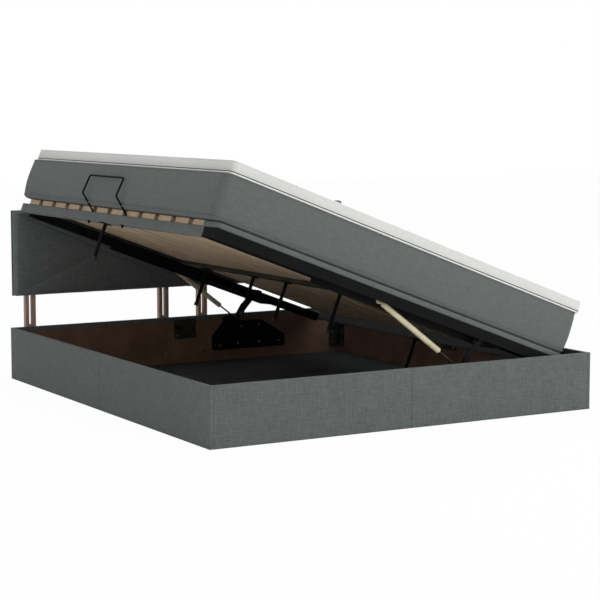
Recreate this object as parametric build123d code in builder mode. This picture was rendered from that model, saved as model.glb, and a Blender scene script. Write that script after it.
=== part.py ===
from build123d import *
import os
from math import atan2, cos, hypot, radians, sin

os.makedirs("parts", exist_ok=True)

# Storage bed whose mattress deck lifts at one long side. X runs from the lifting side to the hinge side,
# Y from the foot to the headboard, Z up. The origin is the centre of the box on the floor.
# The deck is drawn lying flat in the box, on a frame that stands where the lift linkage holds it open.

# Box
box_width = 1830
box_length = 2056
box_height = 244
board_thickness = 13
cover_thickness = 3
cover_round = 4
seam_gap = 0.6
half_width = box_width / 2
half_length = box_length / 2
wall = board_thickness + cover_thickness
inner_x = half_width - wall
inner_y = half_length - wall

# Clearances
rest_gap = 0.3
running_gap = 0.05
hole_gap = 0.2
overrun = 2

# Floor of the box
batten_height = 4.5
batten_width = 70
batten_count = 5
floor_thickness = 6
floor_gap = 2

# Corner brackets and joining plates inside the box
bracket_leg = 58
bracket_steel = 3
bracket_height = 150
bracket_bottom = 36
bracket_round = 8
joint_plate_width = 118
joint_plate_height = 96
joint_plate_top = 230
joint_plate_round = 10

# Headboard
panel_bottom = 396
panel_top = 800
panel_side_inset = 10
pad_thickness = 36
back_thickness = 12
pad_round = 15
pad_side_round = 9
leg_width = 52
leg_thickness = 25
leg_height = 700
leg_side_inset = 103
leg_middle_inset = 107.5
leg_top_round = 10
upright_turn = 90
slot_width = 16
slot_bottom = 250
slot_top = 560
bolt_radius = 4
bolt_head_radius = 9
bolt_head_height = 2.4
washer_radius = 13
washer_height = 2
nut_radius = 7.5
nut_height = 6.5
bolt_tip = 4
box_bolt_low = 62
box_bolt_high = 176
panel_bolt_low = 438
panel_bolt_high = 520
panel_bolt_fixed = 640
leg_spread = half_width - leg_side_inset
panel_half_width = half_width - panel_side_inset
pad_back = half_length - back_thickness
pad_front = pad_back - pad_thickness

# Deck, in its closed place
rail_bottom = 174
rail_height = 40
rail_width = 40
rail_round = 4
deck_side_gap = 31
deck_head_gap = 15
deck_foot_recess = 45
head_rail_top = 200
slat_width = 113
slat_thickness = 24
slat_count = 12
slat_head_gap = 54
slat_foot_gap = 13
slat_recess = 11
slat_round = 3
slat_meeting_gap = 4
beam_height = 18
beam_width = 40
beam_round = 3
slat_bottom = rail_bottom + rail_height
slat_top = slat_bottom + slat_thickness

# Foot edge of the deck
foot_gap = 7
channel_steel = 3
channel_bottom = 171
channel_top = 212
notch_left = -140
notch_right = 560
edge_board_lift_reach = 8
edge_board_hinge_reach = 27
edge_board_thickness = 24
edge_board_corner = 30
edge_board_round = 8

# Support legs of the deck
support_radius = 8
support_plate = 44
support_plate_steel = 3
support_foot_radius = 10
support_foot_bottom = 11
support_foot_height = 15
support_foot_floor = 4
support_middle_y = 35
support_near_share = 0.2456
support_reach = 610
rail_support_y = 30

# Mattress and topper
mattress_side_gap = 2
mattress_head_gap = 35
mattress_height = 184
mattress_corner = 40
mattress_bottom_draw = 3
mattress_top_draw = 7
mattress_bottom_round = 30
mattress_top_round = 12
topper_side_gap = 1
topper_foot_gap = 1
topper_head_gap = 2
topper_slip = 12
topper_height = 55
topper_corner = 24
topper_draw = 3
topper_round = 7

# Mattress retainer
rod_radius = 4
rod_inset = 6
rod_shoulder_reach = 70
rod_top_reach = 62
rod_half_span = 173
rod_end_z = 162
rod_bend_z = 219.5
rod_shoulder_z = 278
rod_top_z = 360
rod_bend_radius = 10
rod_washer_radius = 10
rod_washer_height = 2
rod_nut_radius = 6.4
rod_nut_height = 5

# Lift linkage: the layers of each end, measured from the inner face of its end boards
plate_depth = 66
plate_steel = 5
strut_depth = 48.7
main_depth = 36
main_steel = 5
guide_depth = 25
guide_steel = 5
base_steel = 4
pin_radius = 5
shoulder_radius = 7.5
pin_head_radius = 9
pin_head_height = 3
guide_pin_slack = 2

# Lift linkage: the pivots on the box, and the main arm as it stands with the deck open.
# Every X of the linkage is measured from a line that lies this far from the hinge-side boards
linkage_reach = 899
linkage_x = inner_x - linkage_reach
main_base_x = 176.55
main_base_z = 89.978
guide_base_x = 230.952
guide_base_z = 157.968
main_arm_length = 293.455
main_arm_angle = 51.315
lift_angle = 20.6
elbow_x = 92.4
elbow_z = 130.1
main_foot_radius = 14
elbow_radius = 12
main_tip_radius = 11
guide_foot_radius = 10
guide_bend_radius = 8.5
guide_tip_radius = 11
guide_bend_share = 0.6
guide_bend_offset = 17

# Lift linkage: the pivots on the deck, in its closed place
deck_main_x = 461.7
deck_main_z = 159.3
deck_guide_x = 475.8
deck_guide_z = 198.7
deck_strut_x = -54.1
deck_strut_z = 175.8
plate_left = -378
plate_right = 623
plate_bottom = 147
plate_top = 198
plate_taper = 120
plate_ear_left = 461
plate_ear_right = 491
plate_round = 5

# Base plates of the linkage
base_left = 150
base_right = 570
base_bottom = 62
base_top = 206
base_right_top = 124
base_shoulder_x = 430
base_left_top = 136
ear_left = 214
ear_right = 282
ear_top = 234
base_round = 14

# Gas struts
cylinder_radius = 12
cylinder_length = 366
cylinder_cap = 6
cylinder_neck = 16
cylinder_neck_radius = 5.5
eye_radius = 12
eye_half_width = 6.7
rod_strut_radius = 4
rod_hidden_length = 46
strut_bore_length = 160
ball_radius = 9
ball_half_width = 6

# Ends and edges of the deck, worked out from the box
deck_half_width = inner_x - deck_side_gap
deck_head_end = pad_front - deck_head_gap
plate_face = inner_y - plate_depth
strut_layer = inner_y - strut_depth
main_layer = inner_y - main_depth
guide_layer = inner_y - guide_depth
deck_foot_end = deck_foot_recess - plate_face
foot_edge = foot_gap - inner_y
plate_ear_top = channel_top - channel_steel
slat_far_edge = deck_head_end - slat_head_gap
slat_near_edge = deck_foot_end + slat_foot_gap
slat_pitch = (slat_far_edge - slat_near_edge - slat_width) / (slat_count - 1)
mattress_half_width = inner_x - mattress_side_gap
mattress_head = pad_front - mattress_head_gap
rod_x = rod_inset - deck_half_width


# Planes of the box: across it at a place along Y, and along it at a place along X
def section(y):
    return Plane(origin=(0, y, 0), x_dir=(1, 0, 0), z_dir=(0, -1, 0))


def length_section(x):
    return Plane(origin=(x, 0, 0), x_dir=(0, 1, 0), z_dir=(1, 0, 0))


# The deck's own frame, carried by the main arm's upper pivot
deck_right = Vector(cos(radians(lift_angle)), 0, -sin(radians(lift_angle)))
deck_up = Vector(sin(radians(lift_angle)), 0, cos(radians(lift_angle)))
main_base = Vector(linkage_x + main_base_x, 0, main_base_z)
guide_base = Vector(linkage_x + guide_base_x, 0, guide_base_z)
arm_turn = radians(main_arm_angle)
main_tip = main_base + Vector(cos(arm_turn), 0, sin(arm_turn)) * main_arm_length
deck_origin = main_tip - deck_right * (linkage_x + deck_main_x) - deck_up * deck_main_z


def deck_point(x, y, z):
    return deck_origin + deck_right * x + deck_up * z + Vector(0, y, 0)


def deck_level(z, x=0, y=0):
    return Plane(origin=deck_point(x, y, z), x_dir=deck_right, z_dir=deck_up)


def deck_section(y):
    return Plane(origin=deck_point(0, y, 0), x_dir=deck_right, z_dir=(0, -1, 0))


def deck_length_section(x):
    return Plane(origin=deck_point(x, 0, 0), x_dir=(0, 1, 0), z_dir=deck_right)


# The edges of a piece of the deck that lie wholly at one of some heights
def edges_at(piece, heights):
    def off_level(e):
        middle = (e.center() - deck_origin).dot(deck_up)
        end = (e.position_at(0) - deck_origin).dot(deck_up)
        return min(max(abs(middle - height), abs(end - height)) for height in heights)

    return piece.edges().filter_by(lambda e: off_level(e) < running_gap)


guide_tip = deck_point(linkage_x + deck_guide_x, 0, deck_guide_z)
strut_pin = deck_point(linkage_x + deck_strut_x, 0, deck_strut_z)
elbow = main_base + Vector(elbow_x, 0, elbow_z)


# The near faces of one layer at the head end and at the foot end, both cut towards the foot
def both_ends(inner, outer):
    return (outer, -inner)


def save(piece, name):
    piece.part.label = name
    export_step(piece.part, "parts/" + name + ".step")


# Boards of the box, each side in two halves
def cross_boards(side):
    near = min(side * inner_y, side * (half_length - cover_thickness))
    span = half_width - cover_thickness - seam_gap / 2
    middle = (half_width - cover_thickness + seam_gap / 2) / 2
    with BuildPart() as boards:
        with BuildSketch(Plane.XY):
            for half in (-1, 1):
                with Locations((half * middle, near + board_thickness / 2)):
                    Rectangle(span, board_thickness)
        extrude(amount=box_height - cover_thickness)
        if side > 0:
            with BuildSketch(section(half_length)):
                with Locations(*box_bolts()):
                    Circle(bolt_radius + hole_gap)
            extrude(amount=wall + overrun, both=True, mode=Mode.SUBTRACT)
    return boards


def box_bolts():
    return [(x, z) for x in leg_places() for z in (box_bolt_low, box_bolt_high)]


def leg_places():
    return (-leg_spread, -leg_middle_inset, leg_middle_inset, leg_spread)


def side_boards(side):
    middle = (inner_y + seam_gap / 2) / 2
    with BuildPart() as boards:
        with BuildSketch(Plane.XY):
            for half in (-1, 1):
                with Locations((side * (inner_x + board_thickness / 2), half * middle)):
                    Rectangle(board_thickness, inner_y - seam_gap / 2)
        extrude(amount=box_height - cover_thickness)
    return boards


save(cross_boards(-1), "foot_boards")
save(cross_boards(1), "head_boards")
save(side_boards(-1), "lift_side_boards")
save(side_boards(1), "hinge_side_boards")


# Fabric covers: a skin on the outside, turned over the rim
def cover_corners(side, reach):
    outer = side * reach
    skin = side * (reach - cover_thickness)
    inner = side * (reach - wall)
    board_top = box_height - cover_thickness
    return (
        (outer, 0), (skin, 0), (skin, board_top),
        (inner, board_top), (inner, box_height), (outer, box_height),
    )


def cross_cover(side, half):
    start = -half_width if half < 0 else seam_gap / 2
    with BuildPart() as cover:
        with BuildSketch(length_section(start)) as outline:
            with BuildLine():
                Polyline(*cover_corners(side, half_length), close=True)
            make_face()
            rim = outline.vertices().sort_by_distance((side * half_length, box_height))[0]
            fillet(rim, radius=cover_round)
        extrude(amount=half_width - seam_gap / 2)
        if side > 0:
            with BuildSketch(section(half_length)):
                with Locations(*box_bolts()):
                    Circle(bolt_radius + hole_gap)
            extrude(amount=wall + overrun, both=True, mode=Mode.SUBTRACT)
    return cover


def side_cover(side, half):
    start = -seam_gap / 2 if half < 0 else inner_y
    with BuildPart() as cover:
        with BuildSketch(section(start)) as outline:
            with BuildLine():
                Polyline(*cover_corners(side, half_width), close=True)
            make_face()
            rim = outline.vertices().sort_by_distance((side * half_width, box_height))[0]
            fillet(rim, radius=cover_round)
        extrude(amount=inner_y - seam_gap / 2)
        with BuildSketch(Plane.XY):
            skin_middle = side * (half_width - cover_thickness / 2)
            with Locations((skin_middle, half * (inner_y + (wall - cover_thickness) / 2))):
                Rectangle(cover_thickness, wall - cover_thickness)
        extrude(amount=box_height - cover_thickness)
    return cover


for side, end_name in ((-1, "foot"), (1, "head")):
    for half, half_name in ((-1, "left"), (1, "right")):
        save(cross_cover(side, half), end_name + "_cover_" + half_name)
for side, side_name in ((-1, "lift_side"), (1, "hinge_side")):
    for half, half_name in ((-1, "front"), (1, "rear")):
        save(side_cover(side, half), side_name + "_cover_" + half_name)

# Floor battens and panels
batten_pitch = (2 * inner_y - batten_width - 2 * rest_gap) / (batten_count - 1)
with BuildPart() as battens:
    with BuildSketch(Plane.XY):
        with GridLocations(0, batten_pitch, 1, batten_count):
            Rectangle(2 * (inner_x - rest_gap), batten_width)
    extrude(amount=batten_height)
save(battens, "floor_battens")

panel_span_x = inner_x - rest_gap - floor_gap / 2
panel_span_y = inner_y - rest_gap - floor_gap / 2
with BuildPart() as floor_panels:
    with BuildSketch(Plane.XY.offset(batten_height)):
        with GridLocations(panel_span_x + floor_gap, panel_span_y + floor_gap, 2, 2):
            Rectangle(panel_span_x, panel_span_y)
    extrude(amount=floor_thickness)
save(floor_panels, "floor_panels")

# Corner brackets: bent steel angles
with BuildPart() as corner_brackets:
    with BuildSketch(Plane.XY.offset(bracket_bottom)):
        for side_x in (-1, 1):
            for side_y in (-1, 1):
                corner_x = side_x * inner_x
                corner_y = side_y * inner_y
                with BuildLine():
                    Polyline(
                        (corner_x, corner_y),
                        (corner_x - side_x * bracket_leg, corner_y),
                        (corner_x - side_x * bracket_leg, corner_y - side_y * bracket_steel),
                        (corner_x - side_x * bracket_steel, corner_y - side_y * bracket_steel),
                        (corner_x - side_x * bracket_steel, corner_y - side_y * bracket_leg),
                        (corner_x, corner_y - side_y * bracket_leg),
                        close=True,
                    )
                make_face()
    extrude(amount=bracket_height)
    bracket_ends = (bracket_bottom, bracket_bottom + bracket_height)
    short_edges = corner_brackets.edges().filter_by(lambda e: abs(e.length - bracket_steel) < running_gap)
    outer_edges = short_edges.filter_by(
        lambda e: min(abs(e.center().Z - end) for end in bracket_ends) < running_gap
    )
    fillet(outer_edges, radius=bracket_round)
save(corner_brackets, "corner_brackets")

# Joining plates behind the seams
plate_middle = joint_plate_top - joint_plate_height / 2
with BuildPart() as joining_plates:
    for y in both_ends(inner_y - bracket_steel, inner_y):
        with BuildSketch(section(y)):
            with Locations((0, plate_middle)):
                RectangleRounded(joint_plate_width, joint_plate_height, joint_plate_round)
        extrude(amount=bracket_steel)
    for x in (-inner_x, inner_x - bracket_steel):
        with BuildSketch(length_section(x)):
            with Locations((0, plate_middle)):
                RectangleRounded(joint_plate_width, joint_plate_height, joint_plate_round)
        extrude(amount=bracket_steel)
save(joining_plates, "joining_plates")

# Headboard legs with slots for the height of the headboard
leg_holes = (box_bolt_low, box_bolt_high, panel_bolt_fixed)
with BuildPart() as headboard_legs:
    with BuildSketch(section(half_length + leg_thickness)) as leg_outline:
        with Locations(*[(x, leg_height / 2) for x in leg_places()]):
            Rectangle(leg_width, leg_height)
        tops = leg_outline.vertices().group_by(Axis.Y)[-1]
        fillet(tops, radius=leg_top_round)
        with Locations(*[(x, (slot_bottom + slot_top) / 2) for x in leg_places()]):
            SlotOverall(slot_top - slot_bottom, slot_width, rotation=upright_turn, mode=Mode.SUBTRACT)
        with Locations(*[(x, z) for x in leg_places() for z in leg_holes]):
            Circle(bolt_radius + hole_gap, mode=Mode.SUBTRACT)
    extrude(amount=leg_thickness)
save(headboard_legs, "headboard_legs")


# Headboard: padded panels on back boards
def headboard_panel(half, depth, thickness, padded):
    width = panel_half_width - seam_gap / 2
    middle_x = half * (panel_half_width + seam_gap / 2) / 2
    with BuildPart() as panel:
        with BuildSketch(section(depth)):
            with Locations((middle_x, (panel_bottom + panel_top) / 2)):
                Rectangle(width, panel_top - panel_bottom)
        extrude(amount=thickness)
        if padded:
            upright = panel.edges().filter_by(Axis.Y)
            fillet(upright, radius=pad_side_round)
            front = panel.faces().sort_by(Axis.Y)[0].edges()
            fillet(front, radius=pad_round)
        else:
            with BuildSketch(section(depth)):
                with Locations(*[p for p in panel_bolts() if p[0] * half > 0]):
                    Circle(bolt_radius + hole_gap)
            extrude(amount=thickness, mode=Mode.SUBTRACT)
    return panel


def panel_bolts():
    heights = (panel_bolt_low, panel_bolt_high, panel_bolt_fixed)
    return [(x, z) for x in leg_places() for z in heights]


for half, half_name in ((-1, "left"), (1, "right")):
    save(headboard_panel(half, pad_back, pad_thickness, True), "headboard_pad_" + half_name)
    save(headboard_panel(half, half_length, back_thickness, False), "headboard_back_" + half_name)


# Bolts along Y, from a start towards the head: head, shank, washer and nut
def cut_bolt(x, z, start, grip):
    back = start + grip
    stages = (
        (back + bolt_tip + nut_height + washer_height, back + washer_height + nut_height, bolt_radius),
        (back + washer_height + nut_height, back + washer_height, nut_radius),
        (back + washer_height, back, washer_radius),
        (back, start, bolt_radius),
    )
    for far, near, radius in stages:
        with BuildSketch(section(far)) as stage:
            with Locations((x, z)):
                if radius == nut_radius:
                    RegularPolygon(nut_radius, 6)
                else:
                    Circle(radius)
        extrude(stage.sketch, amount=far - near)


with BuildPart() as box_leg_bolts:
    for x, z in box_bolts():
        cut_bolt(x, z, inner_y, wall + leg_thickness)
        with BuildSketch(section(inner_y)):
            with Locations((x, z)):
                Circle(bolt_head_radius)
        extrude(amount=bolt_head_height)
save(box_leg_bolts, "box_leg_bolts")

with BuildPart() as headboard_bolts:
    for x, z in panel_bolts():
        cut_bolt(x, z, pad_back, back_thickness + leg_thickness)
save(headboard_bolts, "headboard_bolts")

# Base plates of the lift linkage, with an ear at the rim
with BuildPart() as base_plates:
    for y in both_ends(inner_y - base_steel, inner_y):
        with BuildSketch(section(y)) as plate_outline:
            with BuildLine():
                Polyline(
                    (linkage_x + base_left, base_bottom),
                    (linkage_x + base_right, base_bottom),
                    (linkage_x + base_right, base_right_top),
                    (linkage_x + base_shoulder_x, base_top),
                    (linkage_x + ear_right, base_top),
                    (linkage_x + ear_right, ear_top),
                    (linkage_x + ear_left, ear_top),
                    (linkage_x + ear_left, base_top),
                    (linkage_x + base_left, base_left_top),
                    close=True,
                )
            make_face()
            fillet(plate_outline.vertices(), radius=base_round)
        extrude(amount=base_steel)
save(base_plates, "base_plates")


# Pivots: turned pins along Y, each stage given by its two distances from the middle and its radius
def turned_pin(centre, stages):
    for inner, outer, radius in stages:
        for y in both_ends(inner, outer):
            with BuildSketch(section(y)) as stage:
                with Locations((centre.X, centre.Z)):
                    Circle(radius)
            extrude(stage.sketch, amount=outer - inner)


base_face = inner_y - base_steel
main_outer = main_layer + main_steel
guide_outer = guide_layer + guide_steel
plate_outer = plate_face + plate_steel
with BuildPart() as base_pivots:
    turned_pin(
        main_base,
        (
            (main_outer + rest_gap, base_face, shoulder_radius),
            (main_layer - rest_gap, main_outer + rest_gap, pin_radius),
            (main_layer - rest_gap - pin_head_height, main_layer - rest_gap, pin_head_radius),
        ),
    )
    turned_pin(
        guide_base,
        (
            (guide_outer + rest_gap, base_face, shoulder_radius),
            (guide_layer - rest_gap, guide_outer + rest_gap, pin_radius),
            (guide_layer - rest_gap - pin_head_height, guide_layer - rest_gap, pin_head_radius),
        ),
    )
save(base_pivots, "base_pivots")


# Arms: bent limbs between round ends
def limb(start, start_radius, end, end_radius, mode=Mode.ADD):
    with BuildSketch(mode=Mode.PRIVATE) as outline:
        with Locations((start.X, start.Z)):
            Circle(start_radius)
        with Locations((end.X, end.Z)):
            Circle(end_radius)
        make_hull()
    add(outline.sketch, mode=mode)


def bent_arm(layer, steel, start, start_radius, bend, bend_radius, end, end_radius, bores):
    for y in both_ends(layer, layer + steel):
        with BuildSketch(section(y)) as outline:
            limb(start, start_radius, bend, bend_radius)
            limb(bend, bend_radius, end, end_radius)
            for place, radius in bores:
                with Locations((place.X, place.Z)):
                    Circle(radius, mode=Mode.SUBTRACT)
        extrude(outline.sketch, amount=steel)


main_bores = ((main_base, pin_radius + running_gap), (main_tip, pin_radius + running_gap))
with BuildPart() as main_arms:
    bent_arm(
        main_layer, main_steel, main_base, main_foot_radius, elbow, elbow_radius,
        main_tip, main_tip_radius, main_bores,
    )
save(main_arms, "main_arms")

guide_run = guide_tip - guide_base
guide_turn = atan2(guide_run.Z, guide_run.X)
guide_side = Vector(-sin(guide_turn), 0, cos(guide_turn))
guide_bend = guide_base + guide_run * guide_bend_share + guide_side * guide_bend_offset
guide_bores = ((guide_base, pin_radius + running_gap), (guide_tip, pin_radius + guide_pin_slack))
with BuildPart() as guide_arms:
    bent_arm(
        guide_layer, guide_steel, guide_base, guide_foot_radius, guide_bend, guide_bend_radius,
        guide_tip, guide_tip_radius, guide_bores,
    )
save(guide_arms, "guide_arms")

# Deck frame: side rails, the head rail a step lower, and holes for the retainer in the lift rail
rod_places = (-rod_half_span, rod_half_span)
with BuildPart() as lift_rail:
    with BuildSketch(deck_section(deck_head_end)):
        with Locations((-deck_half_width + rail_width / 2, rail_bottom + rail_height / 2)):
            RectangleRounded(rail_width, rail_height, rail_round)
    extrude(amount=deck_head_end - deck_foot_end)
    with BuildSketch(deck_level(rail_bottom - overrun)):
        with Locations(*[(rod_x, y) for y in rod_places]):
            Circle(rod_radius + running_gap)
    extrude(amount=rail_height + 2 * overrun, mode=Mode.SUBTRACT)
save(lift_rail, "lift_rail")

with BuildPart() as hinge_rail:
    with BuildSketch(deck_section(deck_head_end)):
        with Locations((deck_half_width - rail_width / 2, rail_bottom + rail_height / 2)):
            RectangleRounded(rail_width, rail_height, rail_round)
    extrude(amount=deck_head_end - deck_foot_end)
save(hinge_rail, "hinge_rail")

head_rail_inner = plate_face - rail_width
with BuildPart() as head_rail:
    with BuildSketch(deck_length_section(-deck_half_width + rail_width)):
        with Locations(((head_rail_inner + plate_face) / 2, head_rail_top - rail_height / 2)):
            RectangleRounded(rail_width, rail_height, rail_round)
    extrude(amount=2 * (deck_half_width - rail_width))
save(head_rail, "head_rail")

# Foot edge of the deck: an inner angle, an outer apron, and folded ends on both sides of the linkage
edge_board_inner = deck_foot_end - rest_gap
bearer_height = channel_top - channel_steel - rail_bottom
apron_face = foot_edge + channel_steel
channel_middle = (channel_bottom + channel_top) / 2
with BuildPart() as foot_apron:
    with BuildSketch(deck_section(apron_face)):
        with Locations((0, channel_middle)):
            Rectangle(2 * deck_half_width, channel_top - channel_bottom)
    extrude(amount=channel_steel)
save(foot_apron, "foot_apron")

with BuildPart() as foot_angle:
    with BuildSketch(deck_length_section(-deck_half_width)):
        with BuildLine():
            Polyline(
                (deck_foot_end, channel_bottom),
                (deck_foot_end, channel_top),
                (-plate_outer, channel_top),
                (-plate_outer, channel_top - channel_steel),
                (deck_foot_end - channel_steel, channel_top - channel_steel),
                (deck_foot_end - channel_steel, channel_bottom),
                close=True,
            )
        make_face()
    extrude(amount=2 * deck_half_width)
save(foot_angle, "foot_angle")


def apron_end(side, inner_end):
    reach = deck_half_width - side * inner_end
    start = min(side * deck_half_width, inner_end)
    with BuildPart() as end:
        with BuildSketch(deck_length_section(start)):
            with Locations(((apron_face - plate_outer) / 2, channel_top - channel_steel / 2)):
                Rectangle(-plate_outer - apron_face, channel_steel)
        extrude(amount=reach)
        with BuildSketch(deck_length_section(side * deck_half_width)):
            end_middle = (apron_face + deck_foot_end - channel_steel) / 2
            with Locations((end_middle, channel_middle - channel_steel / 2)):
                Rectangle(
                    deck_foot_end - channel_steel - apron_face,
                    channel_top - channel_bottom - channel_steel,
                )
        extrude(amount=-side * channel_steel)
    return end


save(apron_end(-1, linkage_x + notch_left), "foot_apron_left")
save(apron_end(1, linkage_x + notch_right), "foot_apron_right")

with BuildPart() as foot_bearer:
    with BuildSketch(deck_length_section(-deck_half_width + rail_width)):
        with Locations((-(head_rail_inner + plate_face) / 2, rail_bottom + bearer_height / 2)):
            RectangleRounded(rail_width, bearer_height, rail_round)
    extrude(amount=2 * (deck_half_width - rail_width))
save(foot_bearer, "foot_bearer")

edge_board_middle = (edge_board_hinge_reach - edge_board_lift_reach) / 2
edge_board_length = 2 * deck_half_width + edge_board_lift_reach + edge_board_hinge_reach
board_levels = (channel_top, channel_top + edge_board_thickness)
with BuildPart() as foot_edge_board:
    with BuildSketch(deck_level(channel_top)) as board_outline:
        with Locations((edge_board_middle, (foot_edge + edge_board_inner) / 2)):
            Rectangle(edge_board_length, edge_board_inner - foot_edge)
        fillet(board_outline.vertices().group_by(Axis.Y)[0], radius=edge_board_corner)
    extrude(amount=edge_board_thickness)
    outer_edges = edges_at(foot_edge_board, board_levels)
    fillet(outer_edges, radius=edge_board_round)
save(foot_edge_board, "foot_edge_board")

with BuildPart() as middle_beam:
    with BuildSketch(deck_section(head_rail_inner)):
        with Locations((0, slat_bottom - beam_height / 2)):
            RectangleRounded(beam_width, beam_height, beam_round)
    extrude(amount=head_rail_inner - deck_foot_end)
save(middle_beam, "middle_beam")


# Slats: wide planks in two columns that meet over the middle beam
def slat_column(side):
    slat_end = deck_half_width - slat_recess
    start = -slat_end if side < 0 else slat_meeting_gap / 2
    middle_y = (slat_far_edge + slat_near_edge) / 2
    with BuildPart() as slats:
        with BuildSketch(deck_length_section(start)):
            with Locations((middle_y, slat_bottom + slat_thickness / 2)):
                with GridLocations(slat_pitch, 0, slat_count, 1):
                    RectangleRounded(slat_width, slat_thickness, slat_round)
        extrude(amount=slat_end - slat_meeting_gap / 2)
    return slats


save(slat_column(-1), "lift_side_slats")
save(slat_column(1), "hinge_side_slats")

# Deck plates of the linkage
with BuildPart() as deck_plates:
    for y in both_ends(plate_face, plate_outer):
        with BuildSketch(deck_section(y)) as plate_outline:
            with BuildLine():
                Polyline(
                    (linkage_x + plate_left, plate_bottom),
                    (linkage_x + plate_right - plate_taper, plate_bottom),
                    (linkage_x + plate_right, rail_bottom),
                    (linkage_x + plate_right, plate_top),
                    (linkage_x + plate_ear_right, plate_top),
                    (linkage_x + plate_ear_right, plate_ear_top),
                    (linkage_x + plate_ear_left, plate_ear_top),
                    (linkage_x + plate_ear_left, plate_top),
                    (linkage_x + plate_left, plate_top),
                    close=True,
                )
            make_face()
            fillet(plate_outline.vertices(), radius=plate_round)
        extrude(amount=plate_steel)
save(deck_plates, "deck_plates")

with BuildPart() as deck_pivots:
    turned_pin(
        main_tip,
        (
            (plate_outer, main_layer - rest_gap, shoulder_radius),
            (main_layer - rest_gap, main_outer + rest_gap, pin_radius),
            (main_outer + rest_gap, main_outer + rest_gap + pin_head_height, pin_head_radius),
        ),
    )
    turned_pin(
        guide_tip,
        (
            (plate_outer, guide_layer - rest_gap, shoulder_radius),
            (guide_layer - rest_gap, guide_outer + rest_gap, pin_radius),
            (guide_outer + rest_gap, guide_outer + rest_gap + pin_head_height, pin_head_radius),
        ),
    )
    turned_pin(
        strut_pin,
        (
            (plate_outer, strut_layer - eye_half_width - rest_gap, shoulder_radius),
            (strut_layer - eye_half_width - rest_gap, strut_layer + eye_half_width + rest_gap, pin_radius),
            (strut_layer + eye_half_width + rest_gap, main_layer - rest_gap, pin_head_radius),
        ),
    )
save(deck_pivots, "deck_pivots")

# Gas struts: the cylinder turns on the deck, the rod runs in it and reaches the elbow of the main arm
strut_run = elbow - strut_pin
strut_length = hypot(strut_run.X, strut_run.Z)
strut_way = strut_run.normalized()


def strut_plane(side):
    origin = strut_pin + Vector(0, side * strut_layer, 0)
    return Plane(origin=origin, x_dir=strut_way, z_dir=(0, -1, 0))


def strut_axis(side):
    return Axis(strut_pin + Vector(0, side * strut_layer, 0), strut_way)


with BuildPart() as strut_cylinders:
    for side in (-1, 1):
        with BuildSketch(strut_plane(side)):
            with BuildLine():
                Polyline(
                    (0, 0),
                    (0, cylinder_neck_radius),
                    (cylinder_neck, cylinder_neck_radius),
                    (cylinder_neck + cylinder_cap, cylinder_radius),
                    (cylinder_length - cylinder_cap / 2, cylinder_radius),
                    (cylinder_length, cylinder_radius - cylinder_cap / 2),
                    (cylinder_length, rod_strut_radius + running_gap),
                    (cylinder_length - strut_bore_length, rod_strut_radius + running_gap),
                    (cylinder_length - strut_bore_length, 0),
                    close=True,
                )
            make_face()
        revolve(axis=strut_axis(side))
    for y in both_ends(strut_layer - eye_half_width, strut_layer + eye_half_width):
        with BuildSketch(section(y)):
            with Locations((strut_pin.X, strut_pin.Z)):
                Circle(eye_radius)
        extrude(amount=2 * eye_half_width)
        with BuildSketch(section(y)):
            with Locations((strut_pin.X, strut_pin.Z)):
                Circle(pin_radius + running_gap)
        extrude(amount=2 * eye_half_width, mode=Mode.SUBTRACT)
save(strut_cylinders, "strut_cylinders")

with BuildPart() as strut_rods:
    for side in (-1, 1):
        with BuildSketch(strut_plane(side)):
            with BuildLine():
                Polyline(
                    (cylinder_length - rod_hidden_length, 0),
                    (cylinder_length - rod_hidden_length, rod_strut_radius),
                    (strut_length, rod_strut_radius),
                    (strut_length, 0),
                    close=True,
                )
            make_face()
        revolve(axis=strut_axis(side))
    stages = (
        (strut_layer - ball_half_width, strut_layer + ball_half_width, ball_radius),
        (strut_layer + ball_half_width, main_layer - rest_gap, rod_strut_radius),
    )
    for inner, outer, radius in stages:
        for y in both_ends(inner, outer):
            with BuildSketch(section(y)):
                with Locations((elbow.X, elbow.Z)):
                    Circle(radius)
            extrude(amount=outer - inner)
save(strut_rods, "strut_rods")


# Support legs of the deck, with feet
def support_places():
    near_reach = support_reach * support_near_share
    reaches = (-support_reach, -near_reach, near_reach, support_reach)
    beam = [(0, support_middle_y + reach, slat_bottom - beam_height) for reach in reaches]
    rail_x = deck_half_width - rail_width / 2
    rails = [(-rail_x, rail_support_y, rail_bottom), (rail_x, rail_support_y, rail_bottom)]
    return beam + rails


with BuildPart() as support_legs:
    for x, y, top in support_places():
        with BuildSketch(deck_level(top, x, y)):
            RectangleRounded(support_plate, support_plate, rail_round)
        extrude(amount=-support_plate_steel)
        with BuildSketch(deck_level(top - support_plate_steel, x, y)):
            Circle(support_radius)
        extrude(amount=-(top - support_plate_steel - support_foot_bottom - support_foot_floor))
save(support_legs, "support_legs")

with BuildPart() as support_feet:
    for x, y, top in support_places():
        with BuildSketch(deck_level(support_foot_bottom, x, y)):
            Circle(support_foot_radius)
        extrude(amount=support_foot_height)
        with BuildSketch(deck_level(support_foot_bottom + support_foot_floor, x, y)):
            Circle(support_radius + running_gap)
        extrude(amount=support_foot_height, mode=Mode.SUBTRACT)
save(support_feet, "support_feet")

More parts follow.
